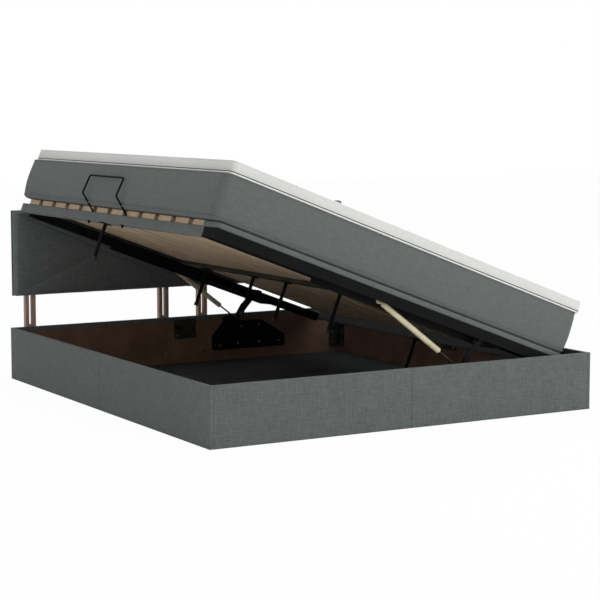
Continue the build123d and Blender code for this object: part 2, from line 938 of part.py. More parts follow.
# Mattress retainer: one bent rod through the lift rail, with washers and nuts under it
rod_shoulder_x = rod_x - rod_shoulder_reach
rod_crest_x = rod_x - rod_top_reach
with BuildPart() as retainer_rod:
    with BuildLine() as rod_path:
        FilletPolyline(
            deck_point(rod_x, rod_half_span, rod_end_z),
            deck_point(rod_x, rod_half_span, rod_bend_z),
            deck_point(rod_shoulder_x, rod_half_span, rod_shoulder_z),
            deck_point(rod_crest_x, rod_half_span, rod_top_z),
            deck_point(rod_crest_x, -rod_half_span, rod_top_z),
            deck_point(rod_shoulder_x, -rod_half_span, rod_shoulder_z),
            deck_point(rod_x, -rod_half_span, rod_bend_z),
            deck_point(rod_x, -rod_half_span, rod_end_z),
            radius=rod_bend_radius,
        )
    with BuildSketch(deck_level(rod_end_z, rod_x, rod_half_span)):
        Circle(rod_radius)
    sweep(path=rod_path.wires()[0])
save(retainer_rod, "retainer_rod")

with BuildPart() as retainer_clips:
    for y in rod_places:
        with BuildSketch(deck_level(rail_bottom, rod_x, y)):
            Circle(rod_washer_radius)
            Circle(rod_radius + running_gap, mode=Mode.SUBTRACT)
        extrude(amount=-rod_washer_height)
        with BuildSketch(deck_level(rail_bottom - rod_washer_height, rod_x, y)):
            RegularPolygon(rod_nut_radius, 6)
            Circle(rod_radius + running_gap, mode=Mode.SUBTRACT)
        extrude(amount=-rod_nut_height)
save(retainer_clips, "retainer_clips")


# Mattress and topper: drawn in at the bottom and the top, swelling between
def soft_block(bottom, top, draws, rounds, half_block_width, shift, foot, head, corner):
    levels = (bottom, (bottom + top) / 2, top)
    insets = (draws[0], 0, draws[1])
    with BuildPart() as block:
        for z, inset in zip(levels, insets):
            with BuildSketch(deck_level(z, shift, (foot + head) / 2)):
                RectangleRounded(2 * (half_block_width - inset), head - foot - 2 * inset, corner)
        loft()
        for z, edge_round in zip((bottom, top), rounds):
            fillet(edges_at(block, (z,)), radius=edge_round)
    return block


mattress_bottom = slat_top + rest_gap
mattress_top = mattress_bottom + mattress_height
mattress = soft_block(
    mattress_bottom, mattress_top, (mattress_bottom_draw, mattress_top_draw),
    (mattress_bottom_round, mattress_top_round), mattress_half_width, 0,
    foot_edge, mattress_head, mattress_corner,
)
save(mattress, "mattress")

topper_bottom = mattress_top + rest_gap
topper_top = topper_bottom + topper_height
topper = soft_block(
    topper_bottom, topper_top, (topper_draw, topper_draw), (topper_round, topper_round),
    mattress_half_width + topper_side_gap, topper_slip,
    foot_edge + topper_foot_gap, mattress_head - topper_head_gap, topper_corner,
)
save(topper, "topper")
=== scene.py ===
import math

import bmesh
import bpy
from mathutils import Matrix, Vector, noise


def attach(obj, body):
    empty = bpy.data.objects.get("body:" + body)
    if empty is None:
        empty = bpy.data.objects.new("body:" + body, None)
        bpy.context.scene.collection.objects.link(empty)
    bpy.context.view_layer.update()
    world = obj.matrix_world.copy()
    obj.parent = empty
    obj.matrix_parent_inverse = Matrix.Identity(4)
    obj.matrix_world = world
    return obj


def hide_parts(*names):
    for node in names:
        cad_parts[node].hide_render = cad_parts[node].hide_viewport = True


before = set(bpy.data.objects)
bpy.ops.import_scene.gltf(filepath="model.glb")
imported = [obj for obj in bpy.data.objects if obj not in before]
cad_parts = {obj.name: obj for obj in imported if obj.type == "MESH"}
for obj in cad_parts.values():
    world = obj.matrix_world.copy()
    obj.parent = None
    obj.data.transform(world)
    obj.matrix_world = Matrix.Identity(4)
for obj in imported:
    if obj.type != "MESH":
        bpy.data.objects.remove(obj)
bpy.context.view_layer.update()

print("frame loaded")

# the deck's own frame: flat coordinates, tilted as the open deck stands
deckPose = {"tilt": 20.6, "x": -0.128256, "z": 0.332378}
deckTurn = math.radians(deckPose["tilt"])
deckMatrix = Matrix.Translation((deckPose["x"], 0, deckPose["z"])) @ Matrix.Rotation(deckTurn, 4, "Y")
deckBack, boxMatrix = deckMatrix.inverted(), Matrix.Identity(4)

# the curve between a colour as it is written, in hex digits, and the light it stands for
curve = {"knee": 0.04045, "slope": 12.92, "offset": 0.055, "power": 2.4}


def linearPart(digits):
    part = int(digits, 16) / 255
    if part < curve["knee"]:
        return part / curve["slope"]
    return ((part + curve["offset"]) / (1 + curve["offset"])) ** curve["power"]


def linear(code):
    return linearPart(code[:2]), linearPart(code[2:4]), linearPart(code[4:]), 1


class Signal:  # one shader socket that takes part in sums
    def __init__(self, tree, socket):
        self.tree, self.socket = tree, socket

    def joined(self, operation, other):
        step = self.tree.nodes.new("ShaderNodeMath")
        step.operation = operation
        for socket, value in zip(step.inputs, (self, other)):
            plug(self.tree, socket, value)
        return Signal(self.tree, step.outputs[0])

    def __add__(self, other):
        return self.joined("ADD", other)

    __radd__ = __add__

    def __mul__(self, other):
        return self.joined("MULTIPLY", other)

    __rmul__ = __mul__


def plug(tree, socket, value):
    if isinstance(value, Signal):
        tree.links.new(value.socket, socket)
    else:
        socket.default_value = value


def weighted(shares, fields):
    total = shares[0] * fields[0]
    for share, field in zip(shares[1:], fields[1:]):
        total = total + share * field
    return total


class Finish:  # one material: its constants are set on the shader, its fields are fed in
    def __init__(self, name, turn=0.0, **constants):
        self.material = bpy.data.materials.new(name)
        self.material.use_nodes = True
        self.tree = self.material.node_tree
        self.shader = next(n for n in self.tree.nodes if n.type == "BSDF_PRINCIPLED")
        for key, value in constants.items():
            self.shader.inputs[key.replace("_", " ")].default_value = value
        self.place = self.node("ShaderNodeTexCoord", output="Object")
        if turn:
            turned = {"Vector": self.place, "Rotation": (0, -turn, 0)}
            self.place = self.node("ShaderNodeMapping", {}, turned)

    def node(self, kind, settings=None, sockets=None, output=0):
        made = self.tree.nodes.new(kind)
        for key, value in (settings or {}).items():
            setattr(made, key, value)
        for key, value in (sockets or {}).items():
            plug(self.tree, made.inputs[key], value)
        return Signal(self.tree, made.outputs[output])

    def clouds(self, scale, detail=2.0, rough=0.5, warp=0.0):
        stretched = self.node("ShaderNodeVectorMath", {"operation": "MULTIPLY"}, {0: self.place, 1: scale})
        sockets = {"Vector": stretched, "Scale": 1.0, "Detail": detail, "Roughness": rough,
                   "Distortion": warp}
        return self.node("ShaderNodeTexNoise", {}, sockets, "Fac")

    def coloured(self, tone, dark, light):
        sockets = {0: tone, 6: linear(dark), 7: linear(light)}
        self.feed("Base Color", self.node("ShaderNodeMix", {"data_type": "RGBA"}, sockets, 2))

    def clamped(self, value, low, high):
        return self.node("ShaderNodeMapRange", {}, {"Value": value, "From Min": low, "From Max": high})

    def feed(self, name, value):
        plug(self.tree, self.shader.inputs[name], value)

    def relief(self, height, strength, distance):
        sockets = {"Height": height, "Strength": strength, "Distance": distance}
        self.feed("Normal", self.node("ShaderNodeBump", {}, sockets))


def even(size):  # a field's scale, the same each way
    return (size,) * 3


def drawnOut(across, along, axis):  # a field's scale, stretched along one axis
    scale = [across] * 3
    scale[axis] = along
    return tuple(scale)


# woven upholstery: slubs both ways, a fine plain weave, soft wear
weave = {"slub": 26.0, "fine": 420.0, "yarn": 640.0, "mottle": 9.0, "toneShares": (0.36, 0.36, 0.2, 0.08),
         "middle": 0.5, "span": 0.11, "rough": 0.78, "worn": 0.16, "reliefShares": (0.5, 0.5, 0.35),
         "strength": 0.45, "depth": 0.0007}


def wovenFinish(name, dark, light, turn=0.0, contrast=1.0):
    f = Finish(name, turn, Sheen_Weight=0.08, Sheen_Roughness=0.6, Specular_IOR_Level=0.18)
    upright = f.clouds(drawnOut(weave["fine"], weave["slub"], 2), detail=3, rough=0.62)
    level = f.clouds(drawnOut(weave["slub"], weave["fine"], 2), detail=3, rough=0.62)
    yarn = f.clouds(even(weave["yarn"]), detail=1)
    mottle = f.clouds(even(weave["mottle"]), detail=3, rough=0.6)
    tone, span = weighted(weave["toneShares"], (upright, level, yarn, mottle)), weave["span"] / contrast
    f.coloured(f.clamped(tone, weave["middle"] - span, weave["middle"] + span), dark, light)
    f.feed("Roughness", weave["rough"] + weave["worn"] * mottle)
    f.relief(weighted(weave["reliefShares"], (upright, level, yarn)), weave["strength"], weave["depth"])
    return f.material


# timber with its grain along one axis; each field has its scale across and along
timber = {"rings": (150.0, 3.5), "pores": (900.0, 16.0), "board": (16.0, 0.9),
          "toneShares": (0.45, 0.25, 0.3), "tones": (0.28, 0.62), "rough": 0.55, "open": 0.2,
          "reliefShares": (0.6, 0.5), "strength": 0.3, "depth": 0.0005}


def timberFinish(name, dark, light, along, turn=0.0):
    f = Finish(name, turn, Specular_IOR_Level=0.3)
    rings = f.clouds(drawnOut(*timber["rings"], along), detail=3, rough=0.55, warp=0.6)
    pores = f.clouds(drawnOut(*timber["pores"], along), rough=0.6)
    board = f.clouds(drawnOut(*timber["board"], along))
    tone = weighted(timber["toneShares"], (rings, board, pores))
    f.coloured(f.clamped(tone, *timber["tones"]), dark, light)
    f.feed("Roughness", timber["rough"] + timber["open"] * pores)
    f.relief(weighted(timber["reliefShares"], (rings, pores)), timber["strength"], timber["depth"])
    return f.material


# fibre board: flecks, no direction
fibre = {"flecks": 260.0, "stain": 5.0, "toneShares": (0.6, 0.4), "tones": (0.36, 0.64), "rough": 0.72,
         "worn": 0.2, "strength": 0.3, "depth": 0.0004}


def fibreFinish(name, dark, light):
    f = Finish(name, Specular_IOR_Level=0.2)
    flecks = f.clouds(even(fibre["flecks"]), detail=4, rough=0.7)
    stain = f.clouds(even(fibre["stain"]), detail=3, rough=0.6)
    f.coloured(f.clamped(weighted(fibre["toneShares"], (flecks, stain)), *fibre["tones"]), dark, light)
    f.feed("Roughness", fibre["rough"] + fibre["worn"] * flecks)
    f.relief(flecks, fibre["strength"], fibre["depth"])
    return f.material


# powder coat: orange peel, and dust on it
coat = {"peel": 420.0, "dust": 14.0, "tones": (0.35, 0.75), "worn": 0.22, "strength": 0.16, "depth": 0.0003}


def coatFinish(name, dark, light, rough, specular, turn=0.0):
    f = Finish(name, turn, Specular_IOR_Level=specular)
    peel = f.clouds(even(coat["peel"]))
    dust = f.clouds(even(coat["dust"]), detail=4, rough=0.65)
    f.coloured(f.clamped(dust, *coat["tones"]), dark, light)
    f.feed("Roughness", rough + coat["worn"] * dust)
    f.relief(peel, coat["strength"], coat["depth"])
    return f.material


# bare or plated metal: drawn lines along X, faint stains
metal = {"lines": (700.0, 14.0), "stain": 22.0, "tones": (0.3, 0.7), "drawn": 0.2, "worn": 0.1,
         "strength": 0.08, "depth": 0.0002}


def metalFinish(name, dark, light, rough, turn=0.0):
    f = Finish(name, turn, Metallic=1.0)
    drawn = f.clouds(drawnOut(*metal["lines"], 0))
    stain = f.clouds(even(metal["stain"]), detail=3, rough=0.6)
    f.coloured(f.clamped(stain, *metal["tones"]), dark, light)
    f.feed("Roughness", rough + metal["drawn"] * drawn + metal["worn"] * stain)
    f.relief(drawn, metal["strength"], metal["depth"])
    return f.material


# knitted ticking, with its wales along Y
knit = {"wale": 330.0, "course": 210.0, "pill": 90.0, "cloud": 4.0, "toneShares": (0.5, 0.3, 0.2),
        "tones": (0.3, 0.68), "rough": 0.82, "worn": 0.14, "reliefShares": (0.6, 0.4), "strength": 0.25,
        "depth": 0.0005}


def knitFinish(name, dark, light):
    f = Finish(name, deckTurn, Sheen_Weight=0.1, Sheen_Roughness=0.5, Specular_IOR_Level=0.15)
    loops = f.clouds(drawnOut(knit["wale"], knit["course"], 1))
    pill = f.clouds(even(knit["pill"]), detail=4, rough=0.7)
    cloud = f.clouds(even(knit["cloud"]), detail=3)
    f.coloured(f.clamped(weighted(knit["toneShares"], (loops, pill, cloud)), *knit["tones"]), dark, light)
    f.feed("Roughness", knit["rough"] + knit["worn"] * pill)
    f.relief(weighted(knit["reliefShares"], (loops, pill)), knit["strength"], knit["depth"])
    return f.material


plastic = {"grain": 520.0, "rough": 0.5, "worn": 0.2, "strength": 0.15, "depth": 0.0003}


def plasticFinish(name, dark, light, turn=0.0):
    f = Finish(name, turn, Specular_IOR_Level=0.4)
    grain = f.clouds(even(plastic["grain"]))
    f.coloured(grain, dark, light)
    f.feed("Roughness", plastic["rough"] + plastic["worn"] * grain)
    f.relief(grain, plastic["strength"], plastic["depth"])
    return f.material


strutSlant = math.radians(37.5)
boxFabric = wovenFinish("boxFabric", "505554", "6e7372")
deckFabric = wovenFinish("deckFabric", "505554", "6e7372", deckTurn)
mattressFabric = wovenFinish("mattressFabric", "565a59", "6d7170", deckTurn, contrast=0.8)
topperKnit = knitFinish("topperKnit", "cfcfcd", "e4e4e2")
pipingCloth = knitFinish("pipingCloth", "dededc", "f0f0ee")
# painted shade: a dark knit for the cord that stands in for the shadow in the topper's groove
paintedGrooveShade = knitFinish("paintedGrooveShade", "3a3c3c", "565858")
threadCloth = plasticFinish("threadCloth", "4c504f", "626665")
# painted shade: a near-black cloth for the blocks' bottom faces, so the gaps between the slats read dark
paintedUnderShade = knitFinish("paintedUnderShade", "1c1d1d", "2e3030")
slatWood = timberFinish("slatWood", "b39271", "ead0b0", 0, deckTurn)
legWood = timberFinish("legWood", "93786a", "c4a898", 2)
battenWood = timberFinish("battenWood", "8c7058", "b4977c", 0)
rawBoard = fibreFinish("rawBoard", "5f483c", "8a6d5c")
floorBoard = fibreFinish("floorBoard", "2e3332", "4c5352")
backBoard = fibreFinish("backBoard", "4a4c4d", "62646a")
blackCoat = coatFinish("blackCoat", "060707", "121314", rough=0.6, specular=0.12, turn=deckTurn)
baseCoat = coatFinish("baseCoat", "08090a", "161719", rough=0.6, specular=0.12)
beamCoat = coatFinish("beamCoat", "34322b", "4a473d", rough=0.6, specular=0.15, turn=deckTurn)
darkBolt = coatFinish("darkBolt", "141414", "242424", rough=0.45, specular=0.35)
plated = metalFinish("plated", "7a7a74", "a8a8a0", rough=0.34)
plateSteel = metalFinish("plateSteel", "3c3c3a", "5e5e5a", rough=0.4)
rodSteel = metalFinish("rodSteel", "4a4d4b", "70736f", rough=0.2, turn=strutSlant)
cylinderPaint = coatFinish("cylinderPaint", "cfc4a2", "e6dec2", rough=0.34, specular=0.4)
footPlastic = plasticFinish("footPlastic", "17181a", "26272a", deckTurn)
print("finishes made")

nodeFinish = {
    "lift_rail": deckFabric, "hinge_rail": deckFabric, "foot_edge_board": deckFabric,
    "foot_boards": rawBoard, "head_boards": rawBoard, "lift_side_boards": rawBoard,
    "hinge_side_boards": rawBoard, "floor_battens": battenWood, "floor_panels": floorBoard,
    "headboard_legs": legWood, "headboard_back_left": backBoard, "headboard_back_right": backBoard,
    "corner_brackets": plateSteel, "joining_plates": plateSteel, "box_leg_bolts": plated,
    "headboard_bolts": plated, "base_plates": baseCoat, "base_pivots": plated, "main_arms": baseCoat,
    "guide_arms": baseCoat, "head_rail": blackCoat, "foot_apron": blackCoat, "foot_angle": blackCoat,
    "foot_apron_left": blackCoat, "foot_apron_right": blackCoat, "foot_bearer": blackCoat,
    "middle_beam": beamCoat, "deck_plates": blackCoat, "deck_pivots": plated, "support_legs": blackCoat,
    "support_feet": footPlastic, "retainer_rod": blackCoat, "retainer_clips": blackCoat,
    "lift_side_slats": slatWood, "hinge_side_slats": slatWood, "strut_cylinders": cylinderPaint,
    "strut_rods": rodSteel,
}
for nodeName, finish in nodeFinish.items():
    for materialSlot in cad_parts[nodeName].material_slots:
        materialSlot.material = finish

# points closer than the weld are one, and the stretch keeps the axes of a noise apart
meshLook = {"weld": 1e-6, "seedStretch": 1.7}


def enlist(piece, body, replaced=()):
    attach(piece, body)
    if replaced:
        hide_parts(*replaced)


def newPiece(name, points, faces, finish, smooth=True, matrix=boxMatrix):
    mesh = bpy.data.meshes.new(name)
    mesh.from_pydata([tuple(matrix @ Vector(p)) for p in points], [], faces)
    mesh.validate()
    tidy = bmesh.new()
    tidy.from_mesh(mesh)
    bmesh.ops.remove_doubles(tidy, verts=tidy.verts, dist=meshLook["weld"])
    bmesh.ops.recalc_face_normals(tidy, faces=tidy.faces)
    tidy.to_mesh(mesh)
    tidy.free()
    mesh.polygons.foreach_set("use_smooth", [smooth] * len(mesh.polygons))
    piece = bpy.data.objects.new(name, mesh)
    bpy.context.scene.collection.objects.link(piece)
    mesh.materials.append(finish)
    return piece


def gridFaces(rows, columns, closedRows=False, closedColumns=False):
    faces = []
    for r in range(rows if closedRows else rows - 1):
        for c in range(columns if closedColumns else columns - 1):
            a, b = r * columns + c, r * columns + (c + 1) % columns
            d, e = ((r + 1) % rows) * columns + c, ((r + 1) % rows) * columns + (c + 1) % columns
            faces.append((a, b, e, d))
    return faces


def ladderFaces(first, count):  # closes a ring straight across, from one half to the other
    last = first + count - 1
    return [(first + k, first + k + 1, last - k - 1, last - k) for k in range(count // 2 - 1)]


def blockFaces(rings, columns):  # rings one above another, with both ends closed
    ends = ladderFaces(0, columns) + ladderFaces((rings - 1) * columns, columns)
    return gridFaces(rings, columns, closedColumns=True) + ends


def quarter(count):  # the angles of a quarter turn, both ends with them
    return [math.radians(90 * k / count) for k in range(count + 1)]


def ripple(point, size, seed):
    return noise.noise(Vector(point) / size + Vector((seed, seed * meshLook["seedStretch"], -seed)))


# cloth run: a cover is blown up between its seams, and its rise, held under a cap, is kept in its mesh
clothRun = {"pressure": 4.0, "frames": 20, "quality": 4, "evened": 24}


def evened(mesh, rises, held):  # shared among neighbours, and nothing on the seams
    near = [[] for v in mesh.vertices]
    for edge in mesh.edges:
        a, b = edge.vertices
        near[a].append(b)
        near[b].append(a)
    for turn in range(clothRun["evened"]):
        shared = [sum(rises[n] for n in beside) / len(beside) for beside in near]
        rises = [0.0 if k in held else (rises[k] + shared[k]) / 2 for k in range(len(rises))]
    return rises


def evaluated(piece):
    return piece.evaluated_get(bpy.context.evaluated_depsgraph_get())


def inflate(piece, isSeam, cap):
    mesh = piece.data
    old = [v.co.copy() for v in mesh.vertices]
    outward = [v.normal.copy() for v in mesh.vertices]
    held = {k for k, place in enumerate(old) if isSeam(place)}
    seams = piece.vertex_groups.new(name="seams")
    seams.add(sorted(held), 1.0, "REPLACE")
    cloth = piece.modifiers.new("cloth", "CLOTH")
    cloth.settings.use_pressure = True
    cloth.settings.uniform_pressure_force = clothRun["pressure"]
    cloth.settings.vertex_group_mass = "seams"
    cloth.settings.effector_weights.gravity = 0
    cloth.settings.quality = clothRun["quality"]
    cloth.collision_settings.use_collision = False
    cloth.point_cache.frame_end = clothRun["frames"]
    scene = bpy.context.scene
    for step in range(1, clothRun["frames"] + 1):
        scene.frame_set(step)
    new = [v.co.copy() for v in evaluated(piece).data.vertices]
    piece.modifiers.remove(cloth)
    piece.vertex_groups.remove(seams)
    scene.frame_set(1)
    rises = [(end - start).dot(normal) for start, end, normal in zip(old, new, outward)]
    capped = [max(-cap, min(cap, rise)) for rise in rises]
    for k, rise in enumerate(evened(mesh, capped, held)):
        mesh.vertices[k].co = old[k] + outward[k] * rise
    mesh.update()


def subdivide(piece):
    finer = piece.modifiers.new("finer", "SUBSURF")
    finer.levels = finer.render_levels = 1
    baked = bpy.data.meshes.new_from_object(evaluated(piece))
    piece.modifiers.clear()
    piece.data = baked


# fabric drawn over the boards of the box: rim and ends rounded, faint slack between the staples
halfX, halfY, gap = 0.915, 1.028, 0.0003
boxCover = {"skin": 0.003, "wall": 0.016, "height": 0.244, "rim": 0.005, "arcRows": 6, "wallRows": 14,
            "hemDraw": 0.0008, "hem": 0.004, "tuck": 0.0002, "rimShare": 0.6, "rimEdge": 0.0015,
            "rimDrop": 0.0012, "station": 0.012, "endMarks": (0.0006, 0.0015, 0.003, 0.005),
            "deepestShare": 0.8, "footEnd": 0.00275, "sideEnd": 0.0012, "seam": 0.0022,
            "footSeed": 3.1, "sideSeed": 5.3}
slackLook = {"depth": 0.0007, "size": 0.16, "margin": 0.01, "level": 0.5, "outermost": 0.0005}
foldLook = {"place": 0.898, "width": 0.0035, "depth": 0.0024, "marks": (-1, -0.5, -0.25, 0, 0.25, 0.5, 1)}


def coverProfile():  # how far in from the face, and how high
    r, h, skin, wall = boxCover["rim"], boxCover["height"], boxCover["skin"], boxCover["wall"]
    tuck, rows = boxCover["tuck"], boxCover["wallRows"]
    outer = [(boxCover["hemDraw"], 0.0), (0.0, boxCover["hem"])]
    outer += [(0.0, h * k / rows) for k in range(1, rows)] + [(0.0, h - r)]
    arc = [(r - r * math.cos(a), h - r + r * math.sin(a)) for a in quarter(boxCover["arcRows"])[1:]]
    rim = [(wall * boxCover["rimShare"], h), (wall - boxCover["rimEdge"], h - tuck),
           (wall - tuck, h - boxCover["rimDrop"]), (wall - tuck, h - skin + tuck)]
    inner = [(skin - tuck, h - skin + tuck), (skin - tuck, h / 2), (skin - tuck, 0.0)]
    return outer + arc + rim + inner


def coverMarks(start, end, folded):  # stations along a cover, closer at its ends and at the fold
    steps = max(2, int(abs(end - start) / boxCover["station"]))
    way = 1 if end > start else -1
    marks = {start + (end - start) * k / steps for k in range(steps + 1)}
    for t in boxCover["endMarks"]:
        marks |= {start + way * t, end - way * t}
    if folded:
        marks |= {math.copysign(foldLook["place"] + foldLook["width"] * t, start) for t in foldLook["marks"]}
    return sorted(marks, reverse=end < start)


# along and across are axes: the cover runs from start to end on one, and its face lies on the other
def boxCoverPiece(name, node, along, across, start, end, face, seed, roundEnds, folded):
    profile, marks = coverProfile(), coverMarks(start, end, folded)
    skin, height = boxCover["skin"], boxCover["height"]
    side = 1 if face > 0 else -1
    points = []
    for m in marks:
        nearEnds = (abs(m - start), abs(m - end))
        for inward, z in profile:
            depth = inward
            outside = inward < skin / 2
            for reach, radius in zip(nearEnds, roundEnds):
                if reach < radius and outside:
                    depth = max(depth, radius - math.sqrt(max(0.0, radius ** 2 - (radius - reach) ** 2)))
            if inward < slackLook["outermost"] and slackLook["margin"] < z < height - slackLook["margin"]:
                slack = slackLook["level"] + ripple((m, 0, z), slackLook["size"], seed)
                depth += slackLook["depth"] * slack
            if folded and outside:
                apart = abs(abs(m) - foldLook["place"]) / foldLook["width"]
                depth += foldLook["depth"] * max(0.0, 1 - apart)
            if outside:
                depth = min(depth, skin * boxCover["deepestShare"])
            p = [0.0, 0.0, z]
            p[along], p[across] = m, face - side * depth
            points.append(p)
    rows, columns = len(marks), len(profile)
    faces = gridFaces(rows, columns, closedColumns=True)
    faces += [tuple(range(columns)), tuple(reversed(range((rows - 1) * columns, rows * columns)))]
    enlist(newPiece(name, points, faces, boxFabric), "base", (node,))


def endCovers(side, sideName):
    for half, halfName in ((-1, "left"), (1, "right")):
        boxCoverPiece(f"{sideName}Fabric{halfName.title()}", f"{sideName}_cover_{halfName}",
                      along=0, across=1, start=half * halfX, end=half * gap,
                      face=side * halfY, seed=boxCover["footSeed"] * side + half,
                      roundEnds=(boxCover["footEnd"], boxCover["seam"]), folded=True)


def sideCovers(side, sideName):
    for half, halfName in ((-1, "front"), (1, "rear")):
        boxCoverPiece(f"{sideName}SideFabric{halfName.title()}", f"{sideName}_side_cover_{halfName}",
                      along=1, across=0, start=half * (halfY - boxCover["skin"]), end=half * gap,
                      face=side * halfX, seed=boxCover["sideSeed"] * side + half,
                      roundEnds=(boxCover["sideEnd"], boxCover["seam"]), folded=False)


endCovers(-1, "foot")
endCovers(1, "head")
sideCovers(-1, "lift")
sideCovers(1, "hinge")

# the cover's edge inside the box: a strip turned down and stapled
innerX, innerY = halfX - boxCover["wall"], halfY - boxCover["wall"]
rimFlap = {"top": 0.2438, "bottom": 0.223, "thick": 0.0012, "slope": 0.0004, "frayed": 0.0012,
           "fraySize": 0.05, "seed": 6.0, "step": 0.012}


def rimPath(inset, step):
    x, y = innerX - inset, innerY - inset
    corners = ((x, y), (-x, y), (-x, -y), (x, -y))
    path = []
    for k, (ax, ay) in enumerate(corners):
        bx, by = corners[(k + 1) % 4]
        count = round(math.hypot(bx - ax, by - ay) / step)
        path += [(ax + (bx - ax) * j / count, ay + (by - ay) * j / count) for j in range(count)]
    return path


def rimFlapPiece():
    points = []
    near, far = rimPath(0.0, rimFlap["step"]), rimPath(rimFlap["thick"], rimFlap["step"])
    for (ax, ay), (bx, by) in zip(near, far):
        frayed = rimFlap["frayed"] * ripple((ax, ay, 0), rimFlap["fraySize"], rimFlap["seed"])
        low, top = rimFlap["bottom"] + frayed, rimFlap["top"]
        points += [(ax, ay, low), (ax, ay, top), (bx, by, top - rimFlap["slope"]), (bx, by, low)]
    faces = gridFaces(len(near), 4, closedRows=True, closedColumns=True)
    enlist(newPiece("rimFlap", points, faces, boxFabric, smooth=False), "base")


rimFlapPiece()
print("box covers made")

# soft blocks of the deck: a rounded plan, a swelling side, a crown on top
mattressLook = {"halfWidth": 0.905, "shift": 0.0, "low": -1.009, "high": 0.947, "corner": 0.04,
                "bottom": 0.2383, "top": 0.4223, "lowDraw": 0.011, "highDraw": 0.005, "lowRound": 0.014,
                "highRound": 0.009, "wave": 0.0012, "waveSize": 0.22, "seed": 4.0, "cap": 0.003,
                "dents": (-0.173, 0.173), "dentWidth": 0.024, "dentDepth": 0.010, "dentTop": 0.05}
topperLook = {"halfWidth": 0.897, "shift": 0.012, "low": -1.003, "high": 0.942, "corner": 0.023,
              "bottom": 0.4226, "top": 0.4766, "lowDraw": 0.003, "highDraw": 0.003, "lowRound": 0.006,
              "highRound": 0.0055, "wave": 0.0012, "waveSize": 0.18, "seed": 9.0, "cap": 0.004, "dents": ()}
blockMesh = {"perCorner": 8, "perSide": 64, "arcRows": 6, "sideRows": 7, "under": 0.0005, "facing": 0.9,
             "capShares": (0.15, 0.32, 0.48, 0.62, 0.74, 0.84, 0.91, 0.955, 0.98)}
# sizes are shares of a block's own wave, and the levels are heights in its noise
dipLook = {"depth": 0.6, "size": 1.6, "level": 0.5, "seed": 3, "edgePower": 8}
swellLook = {"level": 0.3, "fineDepth": 0.35, "fineSize": 0.3, "fineLevel": 0.2, "fineSeed": 7}


def planLoop(halfW, low, high, corner, perCorner, perSide, shift=0.0):  # places and their outward ways
    corners = ((halfW, high, 0), (-halfW, high, 90), (-halfW, low, 180), (halfW, low, 270))
    centres = [(x - math.copysign(corner, x), high - corner if y == high else low + corner)
               for x, y, angle in corners]
    loop = []
    for k, (x, y, angle) in enumerate(corners):
        cx, cy = centres[k]
        for j in range(perCorner + 1):
            a = math.radians(angle + 90 * j / perCorner)
            nx, ny = math.cos(a), math.sin(a)
            loop.append((shift + cx + corner * nx, cy + corner * ny, nx, ny))
        ex, ey = centres[(k + 1) % 4]
        for j in range(1, perSide):
            t = j / perSide
            loop.append((shift + cx + (ex - cx) * t + corner * nx, cy + (ey - cy) * t + corner * ny, nx, ny))
    return loop


def lookLoop(look, perSide, inset=0.0):
    return planLoop(look["halfWidth"] - inset, look["low"] + inset, look["high"] - inset,
                    look["corner"] - inset, blockMesh["perCorner"], perSide, look["shift"])


def sideInsets(look):  # heights of a side with their insets: rounded below and above, swelling between
    height = look["top"] - look["bottom"]
    lowRound, highRound = look["lowRound"], look["highRound"]

    def swell(z):
        return (look["lowDraw"] if z < height / 2 else look["highDraw"]) * (2 * z / height - 1) ** 2

    def row(z, rounded):
        return z, swell(z) + rounded

    arc, count = quarter(blockMesh["arcRows"]), blockMesh["sideRows"]
    reach = height - highRound - lowRound
    below = [row(lowRound * (1 - math.cos(a)), lowRound * (1 - math.sin(a))) for a in arc]
    between = [row(lowRound + reach * k / count, 0) for k in range(1, count)]
    above = [row(height - highRound * (1 - math.cos(a)), highRound * (1 - math.sin(a))) for a in arc]
    return below + between + above[::-1]


def capRing(look, loop, inset, z, t, sag):
    middle = Vector((look["shift"], (look["low"] + look["high"]) / 2))
    size, seed = look["waveSize"] * dipLook["size"], look["seed"] + dipLook["seed"]
    ring = []
    for x, y, nx, ny in loop:
        place = middle + (Vector((x - nx * inset, y - ny * inset)) - middle) * t
        dip = look["wave"] * dipLook["depth"] * ripple((place.x, place.y, dipLook["level"]), size, seed)
        ring.append((place.x, place.y, z + sag * min(0.0, dip) * (1 - t ** dipLook["edgePower"])))
    return ring


def dented(look, y, z, nx):  # pressed in on the lift side, where the retainer's legs pass
    if nx > -blockMesh["facing"]:
        return 0
    return sum(look["dentDepth"] * max(0.0, 1 - z / look["dentTop"])
               * math.exp(-((y - place) / look["dentWidth"]) ** 2) for place in look["dents"])


def sideRing(look, loop, z, inset):
    share = z / (look["top"] - look["bottom"])
    size, seed = look["waveSize"], look["seed"]
    ring = []
    for x, y, nx, ny in loop:
        wave = ripple((x, y, share * swellLook["level"]), size, seed)
        wave += swellLook["fineDepth"] * ripple((x, y, share * swellLook["fineLevel"]),
                                                size * swellLook["fineSize"], seed + swellLook["fineSeed"])
        out = look["wave"] * wave * math.sin(math.pi * share) - inset - dented(look, y, z, nx)
        ring.append((x + nx * out, y + ny * out, look["bottom"] + z))
    return ring


def softBlock(name, look, finish):
    loop, side, shares = lookLoop(look, blockMesh["perSide"]), sideInsets(look), blockMesh["capShares"]
    points = []
    for t in shares:
        points += capRing(look, loop, side[0][1], look["bottom"], t, 0)
    for z, inset in side:
        points += sideRing(look, loop, z, inset)
    for t in reversed(shares):
        points += capRing(look, loop, side[-1][1], look["top"], t, 1)
    faces = blockFaces(2 * len(shares) + len(side), len(loop))
    block = newPiece(name, points, faces, finish, matrix=deckMatrix)
    # the bottom faces get the near-black painted-shade cloth, which darkens the gaps between the slats
    block.data.materials.append(paintedUnderShade)
    flat = [(deckBack @ v.co).z < look["bottom"] + blockMesh["under"] for v in block.data.vertices]
    for face in block.data.polygons:
        face.material_index = int(all(flat[k] for k in face.vertices))
    return block


# what the cloth run leaves free: the sides between their rounded edges, and the top inside its border
freeLook = {"edge": 1.2, "border": 0.03, "skin": 0.004}


